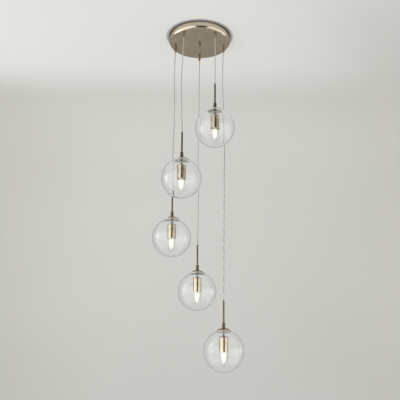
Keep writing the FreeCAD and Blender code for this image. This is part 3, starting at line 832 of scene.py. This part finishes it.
def make_globe(key, centre):
    """Two nested spheres, joined at the mouth by a fire-polished lip."""
    inner = GLOBE_RADIUS - GLOBE_WALL
    middle = GLOBE_RADIUS - GLOBE_WALL / 2
    mouth = MOUTH_RADIUS + GLOBE_WALL / 2
    lean = math.degrees(math.acos(mouth / middle))
    section = arc(0, 0, GLOBE_RADIUS, -90, lean, 72)
    lip_z = middle * math.sin(math.radians(lean))
    section += arc(mouth, lip_z, GLOBE_WALL / 2, lean, lean + 180, 8)[1:-1]
    section += arc(0, 0, inner, lean, -90, 72)
    piece = spun(f"glass_globe_{key}", section, centre, GLOBE_STEPS)
    # Glass bends the light by its normals, so these stay those of the sphere.
    piece.modifiers.clear()
    settle(piece, f"pendant_{key}", f"globe_{key}", clear_glass(f"glass_{key}", centre))


def make_stem(key, centre, finish):
    """The tube that a pendant hangs by."""
    low, high = span("stem", key)
    section = [(STEM_BORE, low), (STEM_RADIUS, low), (STEM_RADIUS, high), (STEM_BORE, high)]
    piece = spun(f"stem_tube_{key}", section, centre, STEM_STEPS, TUBE_EDGE)
    settle(piece, f"pendant_{key}", f"stem_{key}", finish)


def make_collar(key, centre, finish):
    """A short sleeve with a turned groove near each end."""
    low, high = span("collar", key)
    section = [(STEM_HOLE, low), (COLLAR_RADIUS, low)]
    for level in (low + GROOVE_PLACE, high - GROOVE_PLACE):
        section += groove(COLLAR_RADIUS, level, COLLAR_GROOVE, COLLAR_GROOVE)
    section += [(COLLAR_RADIUS, high), (STEM_HOLE, high)]
    piece = spun(f"stem_collar_{key}", section, centre, SMALL_STEPS, COLLAR_EDGE)
    settle(piece, f"pendant_{key}", f"collar_{key}", finish)


def make_cap(key, centre, finish):
    """A shallow dome with a flat rim, both spun from one sheet."""
    low, high = span("globe_cap", key)
    shoulder = low + CAP_WALL
    outer = arc_through((CAP_LAND, high), (CAP_DOME, shoulder), "level")
    inner = arc_through((CAP_LAND, high - CAP_WALL), (CAP_DOME - CAP_WALL, low), "level")
    outer_end = math.degrees(math.acos((CAP_DOME - outer[0]) / outer[2]))
    inner_end = math.degrees(math.acos((CAP_DOME - CAP_WALL - inner[0]) / inner[2]))
    section = [(STEM_HOLE, high)]
    section += arc(*outer, 90, outer_end, 16)
    section += [(CAP_RADIUS, shoulder), (CAP_RADIUS, low)]
    section += arc(*inner, inner_end, 90, 16)
    section += [(STEM_HOLE, high - CAP_WALL)]
    piece = spun(f"dome_cap_{key}", section, centre, CAP_STEPS, TUBE_EDGE)
    settle(piece, f"pendant_{key}", f"globe_cap_{key}", finish)


def make_cup(key, centre, finish):
    """A deep drawn cup, mouth down, with a small lip below its rounded shoulder."""
    low, high = span("socket_cup", key)
    inner_top = high - CUP_WALL
    turn = CUP_RADIUS - CUP_EDGE
    lip_top = high - CUP_EDGE
    lip_foot = lip_top - CUP_LIP_HEIGHT
    section = [(STEM_HOLE, inner_top)]
    section += arc(turn, lip_top, CUP_EDGE - CUP_WALL, 90, 0, 6)
    section += [(CUP_RADIUS - CUP_WALL, low), (CUP_RADIUS, low), (CUP_RADIUS, lip_foot)]
    section += [(CUP_RADIUS + CUP_LIP, lip_foot), (CUP_RADIUS + CUP_LIP, lip_top)]
    section += arc(turn, lip_top, CUP_EDGE, 0, 90, 8)
    section += [(STEM_HOLE, high)]
    piece = spun(f"nickel_cup_{key}", section, centre, CUP_STEPS, TUBE_EDGE)
    settle(piece, f"pendant_{key}", f"socket_cup_{key}", finish)


def bulb_profile(tip, shoulder, inset):
    """The glass's half section from its point up to its shoulder, as far inside it as asked."""
    widest = shoulder - BULB_WIDEST
    broad = BULB_RADIUS - inset
    point = tip + inset
    upper = arc_through((broad, widest), (BULB_SHOULDER - inset, shoulder), "upright")
    lower = arc_through((broad, widest), (BULB_TIP, point + BULB_TIP), "upright")
    upper_end = math.degrees(math.asin((shoulder - widest) / upper[2]))
    lower_end = math.degrees(math.asin((point + BULB_TIP - widest) / lower[2]))
    section = arc(0, point + BULB_TIP, BULB_TIP, -90, 0, 5)
    section += arc(*lower, lower_end, 0, 20)[1:]
    return section + arc(*upper, 0, upper_end, 12)[1:]


def arc_of_core(foot, head):
    """The half section of what glows: a slim spindle from its foot up to the stalk that holds it."""
    steps = 16
    points = [(0, foot)]
    for step in range(1, steps):
        share = step / steps
        swell = math.sin(math.pi * share) ** CORE_FULLNESS
        points.append((max(CORE_RADIUS * swell, STALK_RADIUS * share), foot + (head - foot) * share))
    return points + [(STALK_RADIUS, head)]


def make_bulb(key, centre):
    """A candle bulb: thin glass that swells and runs out to a point, what glows in it, and a screw base."""
    tip, top = span("bulb", key)
    shoulder = top - BULB_BASE_LENGTH
    section = bulb_profile(tip, shoulder, 0.0) + bulb_profile(tip, shoulder, BULB_WALL)[::-1]
    glass = spun(f"candle_bulb_{key}", section, centre, BULB_STEPS)
    foot = tip + CORE_FOOT
    head = shoulder - CORE_HEAD
    frosting = frosted_glass(f"bulb_glass_{key}", centre, foot, head)
    settle(glass, f"bulb_{key}", f"bulb_{key}", frosting)
    below = shoulder - BULB_WALL
    section = arc_of_core(foot, head) + [(STALK_RADIUS, below), (0, below)]
    core = spun(f"bulb_core_{key}", section, centre, CORE_STEPS)
    core.data.materials.append(glowing_core(f"glow_{key}", centre, foot, head))
    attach(core, f"bulb_{key}")

    plug = BULB_SHOULDER - 2 * BULB_WALL
    section = [(0, below), (plug, below), (plug, shoulder), (BULB_SHOULDER, shoulder)]
    section += [(BULB_BASE, shoulder + BULB_WALL)]
    level = shoulder + BASE_FOOT
    while level < top - THREAD_END:
        section += [(BULB_BASE, level), (BULB_BASE - THREAD_DEPTH, level + THREAD_PITCH / 2)]
        level += THREAD_PITCH
    section += [(BULB_BASE, level), (BULB_BASE, top - BASE_TAPER), (CONTACT_RADIUS, top), (0, top)]
    base = spun(f"bulb_base_{key}", section, centre, BULB_STEPS)
    base.data.materials.append(ZINC)
    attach(base, f"bulb_{key}")


def make_pendant(key):
    """One pendant's pieces below its cord, with finishes that are centred on its own axis."""
    centre = centre_of(key)
    turned = brushed_nickel(
        f"turned_nickel_{key}", centre, CAP_LIGHT, CAP_DARK, SMALL_ROUGHNESS, SMALL_RINGS, BRUSHING
    )
    bright = polished_nickel(f"polished_nickel_{key}", centre, POLISHED_LIGHT, POLISHED_DEEP, CUP_ROUGHNESS)
    dark = polished_nickel(f"stem_nickel_{key}", centre, STEM_LIGHT, STEM_DEEP, STEM_ROUGHNESS)
    make_globe(key, centre)
    make_stem(key, centre, dark)
    make_collar(key, centre, dark)
    make_cap(key, centre, turned)
    make_cup(key, centre, bright)
    make_bulb(key, centre)


for key in PLACES:
    make_pendant(key)

# ---------------------------------------- CAD nodes that stay

LEAD_TURNS = 12.0

KEPT = {
    "mounting_strap": ZINC,
    "centre_stud": ZINC,
    "stud_nut": ZINC,
    "grip_locknuts": ZINC,
    "earth_screw": BRASS,
    "terminal_block": BLOCK_PLASTIC,
    "canopy_leads": cord_jacket("lead_jacket", LEAD_TURNS),
}
for key in PLACES:
    KEPT[f"gasket_{key}"] = SILICONE
    KEPT[f"globe_clamp_{key}"] = ZINC
    KEPT[f"lampholder_{key}"] = HOLDER_PLASTIC


def dress_kept_nodes():
    """What lies hidden keeps its solid's own mesh, with a finish of its own."""
    for name, material in KEPT.items():
        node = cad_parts[name]
        node.data.materials.clear()
        node.data.materials.append(material)


dress_kept_nodes()

# ---------------------------------------- room and light

CEILING_PAPER = colour(0.745, 0.745, 0.725)
CEILING_SHADE = colour(0.58, 0.58, 0.555)
WALL_PAPER = colour(0.64, 0.64, 0.615)
WALL_SHADE = colour(0.585, 0.58, 0.55)
# The wall as metal mirrors it: a painted reflection, darker than the wall that the camera sees.
WALL_MIRRORED = colour(0.44, 0.435, 0.415)

# Where the ceiling's paper sets in, as places from the wall forwards.
CEILING_END = (0.6, 0.22)

# The sheet's shape, and how far forwards the box behind it reaches and stands off.
FLOOR_LEVEL = -1.75
WALL_PLACE = 0.95
COVE = 0.35
ROOM_HALF_WIDTH = 3.2
FLOOR_FRONT = 0.3
CEILING_FRONT = -0.7
CEILING_GAP = 0.0005
FAR_FRONT = -3.6
FAR_STEP = 0.03
COVE_STEPS = 10

# How much of the tone that a camera sees is steady. The rest is what the lamps light and shade.
STEADY_SHARE = 0.6
# Painted contact shadow: paper is darker where something is nearer to it than this, and by this power of the
# open share.
CONTACT_REACH = 0.016
CONTACT_POWER = 5.0
CONTACT_SAMPLES = 12
PAPER_CLOUD = 1.2
PAPER_UNEVEN = (-0.12, 0.12)
# Painted shade: where the ceiling darkens towards the right, and where the wall darkens away from the
# middle.
CEILING_DARKENS = (0.15, 1.0)
WALL_DARKENS = (0.35, 1.2)
# A mirror image that is seen through glass keeps this much of the wall's own tone.
GLASS_KEEPS = 0.6


def paper_shade(nodes):
    """The ceiling is paler than the wall. Painted shade darkens the ceiling towards the right and the wall
    away from the middle, and metal mirrors a wall painted deeper in tone.
    """
    place = nodes.object_place()
    parts = nodes.parts(place)
    cloud = nodes.spread(nodes.noise(place, PAPER_CLOUD, 2.0, 0.4), *PAPER_UNEVEN)
    across = nodes.math("ADD", parts["X"], cloud)
    # Painted shade across the ceiling and the wall.
    overhead = nodes.blend(nodes.rise(across, *CEILING_DARKENS), CEILING_PAPER, CEILING_SHADE)
    aside = nodes.rise(nodes.math("ABSOLUTE", across), *WALL_DARKENS)
    upright = nodes.blend(aside, WALL_PAPER, WALL_SHADE)
    path = nodes.add("ShaderNodeLightPath").outputs
    mirrored = nodes.math("MINIMUM", path["Glossy Depth"], 1.0)
    behind_glass = nodes.math("MULTIPLY", path["Is Transmission Ray"], GLASS_KEEPS)
    mirrored = nodes.math("MULTIPLY", mirrored, nodes.math("SUBTRACT", 1.0, behind_glass))
    # Painted reflection: mirrored rays see the darker wall tone.
    upright = nodes.blend(mirrored, upright, WALL_MIRRORED)
    return nodes.blend(nodes.rise(parts["Y"], *CEILING_END), upright, overhead)


def goes_straight(nodes, path):
    """1 for a ray that comes through glass and was never mirrored."""
    return nodes.math("SUBTRACT", path["Is Transmission Ray"], path["Glossy Depth"], clamp=True)


def seen_paper(name, far):
    """A matt surface that cameras, mirrors and glass see at a steady level, and that keeps shadows.

    The far part of the room only closes the view: light and reflections pass through it.
    """
    material, nodes, shader, output = new_material(name)
    shade = paper_shade(nodes)
    nodes.put(shader, "Base Color", shade)
    nodes.put(shader, "Roughness", 0.9)
    if not far:
        # Painted contact shadow: the steady tone darkens where the paper is occluded.
        values = {"Color": shade, "Distance": CONTACT_REACH}
        painted_contact_shadow = nodes.add("ShaderNodeAmbientOcclusion", values, samples=CONTACT_SAMPLES)
        shade = nodes.scaled(shade, nodes.math("POWER", painted_contact_shadow.outputs["AO"], CONTACT_POWER))
    steady = nodes.add("ShaderNodeEmission", {"Color": shade, "Strength": 1.0}).outputs[0]
    path = nodes.add("ShaderNodeLightPath").outputs
    mirrored = nodes.math("MAXIMUM", path["Is Glossy Ray"], path["Is Transmission Ray"])
    direct = nodes.math("MULTIPLY", path["Is Camera Ray"], 1.0 if far else STEADY_SHARE)
    seen = nodes.math("MAXIMUM", direct, mirrored)
    lit = nodes.add("ShaderNodeMixShader", {0: seen, 1: shader.outputs[0], 2: steady})
    hidden = nodes.add("ShaderNodeNewGeometry").outputs["Backfacing"]
    if far:
        in_view = nodes.math("MAXIMUM", path["Is Camera Ray"], goes_straight(nodes, path))
        hidden = nodes.math("MAXIMUM", hidden, nodes.math("SUBTRACT", 1.0, in_view))
    clear = nodes.add("ShaderNodeBsdfTransparent").outputs[0]
    one_sided = nodes.add("ShaderNodeMixShader", {0: hidden, 1: lit.outputs[0], 2: clear})
    nodes.put(output, "Surface", one_sided.outputs[0])
    return material


def furnish(name, mesh, far):
    """Hang paper on a part of the room, which isn't part of the object."""
    part = bpy.data.objects.new(name, mesh)
    bpy.context.collection.objects.link(part)
    part.data.materials.append(seen_paper(f"{name}_paper", far))


def make_room():
    """Floor, back wall and ceiling as one sheet with rounded corners, seen from inside only."""
    profile = [(FLOOR_FRONT, FLOOR_LEVEL)]
    profile += arc(WALL_PLACE - COVE, FLOOR_LEVEL + COVE, COVE, -90, 0, COVE_STEPS)
    profile += arc(WALL_PLACE - COVE, CEILING_GAP - COVE, COVE, 0, 90, COVE_STEPS)
    profile += [(CEILING_FRONT, CEILING_GAP)]
    shape = bmesh.new()
    line = [shape.verts.new((-ROOM_HALF_WIDTH, y, z)) for y, z in profile]
    edges = [shape.edges.new(pair) for pair in zip(line, line[1:])]
    made = bmesh.ops.extrude_edge_only(shape, edges=edges)["geom"]
    moved = [item for item in made if isinstance(item, bmesh.types.BMVert)]
    bmesh.ops.translate(shape, verts=moved, vec=(2 * ROOM_HALF_WIDTH, 0, 0))
    inside = Vector((0, -1, FLOOR_LEVEL / 2))
    for face in shape.faces:
        face.normal_update()
        if face.normal.dot(inside - face.calc_center_median()) < 0:
            face.normal_flip()
    mesh = bpy.data.meshes.new("room")
    finish_mesh(shape, mesh)
    furnish("room", mesh, False)


def make_far_room():
    """The rest of the room, as a box a little outside the sheet, seen only where the sheet ends."""
    shape = bmesh.new()
    bmesh.ops.create_cube(shape, size=1.0)
    depth = WALL_PLACE - FAR_FRONT
    width = 2 * (ROOM_HALF_WIDTH + FAR_STEP)
    height = 2 * FAR_STEP - FLOOR_LEVEL
    bmesh.ops.scale(shape, verts=shape.verts, vec=(width, depth, height))
    middle = (0, FAR_FRONT + depth / 2 + FAR_STEP, FLOOR_LEVEL / 2)
    bmesh.ops.translate(shape, verts=shape.verts, vec=middle)
    bmesh.ops.reverse_faces(shape, faces=shape.faces)
    mesh = bpy.data.meshes.new("far_room")
    shape.to_mesh(mesh)
    shape.free()
    furnish("far_room", mesh, True)


DAYLIGHT = (1.0, 0.985, 0.96)
# Where a mirrored lamp's face starts to shine, is full, starts to fade and is dark, as shares of its width.
LAMP_FADE = (0.0, 0.4, 0.6, 1.0)
LAMP_GAIN = 2.0
# Name, place, the point that it faces, width, height, power in watts, and whether mirrors show it.
LAMPS = [
    ("left_window", (-1.1, -0.05, -0.63), (0, -0.05, -0.63), 0.7, 0.9, 3.2, True),
    ("right_window", (1.7, 0.5, -1.2), (0, 0, -1.0), 0.8, 0.9, 2.6, True),
    ("left_fill", (-1.8, -0.7, -1.1), (0, 0, -0.4), 0.8, 0.8, 7.5, False),
    ("right_fill", (1.6, -1.2, -1.0), (0, 0, -0.7), 1.2, 1.2, 4, False),
]


def soft_light(name, place, target, width, height, power, mirrored):
    """A lamp that cameras never see. A mirrored one fades out towards its edges, as a window does."""
    data = bpy.data.lights.new(name, "AREA")
    data.shape = "RECTANGLE"
    data.size = width
    data.size_y = height
    data.energy = power
    data.color = DAYLIGHT
    if mirrored:
        data.use_nodes = True
        nodes = Nodes(data.node_tree)
        across = nodes.add("ShaderNodeNewGeometry").outputs["Parametric"]
        parts = nodes.parts(across)
        fade = nodes.math("MULTIPLY", *(nodes.window(parts[axis], *LAMP_FADE) for axis in "XY"))
        strength = nodes.math("MULTIPLY", fade, LAMP_GAIN)
        nodes.put(data.node_tree.nodes["Emission"], "Strength", strength)
    lamp = bpy.data.objects.new(name, data)
    turn = (Vector(target) - Vector(place)).to_track_quat("-Z", "Y").to_matrix().to_4x4()
    lamp.matrix_world = Matrix.Translation(place) @ turn
    lamp.visible_camera = False
    lamp.visible_glossy = mirrored
    lamp.visible_transmission = False
    bpy.context.collection.objects.link(lamp)


# The world's two windows and what is round them. Angles are degrees rightwards from straight in front, and
# degrees up: where a window starts, is full, starts to fade and is gone.
LEFT_LEVEL = 1.2
LEFT_AZIMUTH = (-125, -90, -20, -9)
LEFT_ELEVATION = (-75, -40, 16, 40)
RIGHT_LEVEL = 0.9
RIGHT_AZIMUTH = (24, 36, 95, 125)
RIGHT_ELEVATION = (-75, -40, 0, 22)
# Between the windows the world goes down to this share of its level.
GAP_SHARE = 0.15
GAP_AZIMUTH = (-24, -9, 24, 36)
GAP_ELEVATION = (-75, -45, 60, 90)
OVERHEAD_LEVEL = 0.12
LOWER_LEVEL = 0.45
OVERHEAD_START = 0.35
DIM_TONE = colour(1.0, 0.975, 0.94)
BRIGHT_TONE = colour(1.0, 0.985, 0.955)
TONE_CHANGES = (0.2, 1.0)


def degrees_window(nodes, angle, limits):
    return nodes.window(angle, *(math.radians(limit) for limit in limits))


def make_world():
    """Two broad soft windows in front, left and right of a dark gap, over a mid grey room."""
    world = bpy.data.worlds.new("world")
    bpy.context.scene.world = world
    world.use_nodes = True
    nodes = Nodes(world.node_tree)
    background = world.node_tree.nodes["Background"]
    direction = nodes.add("ShaderNodeTexCoord").outputs["Generated"]
    parts = nodes.parts(direction)
    azimuth = nodes.math("ARCTAN2", parts["X"], nodes.math("MULTIPLY", parts["Y"], -1.0))
    elevation = nodes.math("ARCSINE", parts["Z"])

    def facing(sides, levels):
        across = degrees_window(nodes, azimuth, sides)
        return nodes.math("MULTIPLY", across, degrees_window(nodes, elevation, levels))

    left = nodes.math("MULTIPLY", facing(LEFT_AZIMUTH, LEFT_ELEVATION), LEFT_LEVEL)
    right = nodes.math("MULTIPLY", facing(RIGHT_AZIMUTH, RIGHT_ELEVATION), RIGHT_LEVEL)
    windows = nodes.math("ADD", left, right)
    gap = facing(GAP_AZIMUTH, GAP_ELEVATION)
    lower = nodes.rise(elevation, OVERHEAD_START, 0.0)
    around = nodes.remap(lower, 0.0, 1.0, OVERHEAD_LEVEL, LOWER_LEVEL)
    floor_and_walls = nodes.math("MULTIPLY", around, nodes.remap(gap, 0.0, 1.0, 1.0, GAP_SHARE))
    strength = nodes.math("ADD", windows, floor_and_walls)
    tone = nodes.blend(nodes.rise(strength, *TONE_CHANGES), DIM_TONE, BRIGHT_TONE)
    lit = nodes.scaled(tone, strength)
    path = nodes.add("ShaderNodeLightPath").outputs
    seen = nodes.math("MAXIMUM", path["Is Camera Ray"], goes_straight(nodes, path))
    nodes.put(background, "Color", nodes.blend(seen, lit, WALL_PAPER))
    nodes.put(background, "Strength", 1.0)


make_room()
make_far_room()
make_world()
for lamp in LAMPS:
    soft_light(*lamp)

bpy.context.scene.view_settings.view_transform = "Standard"
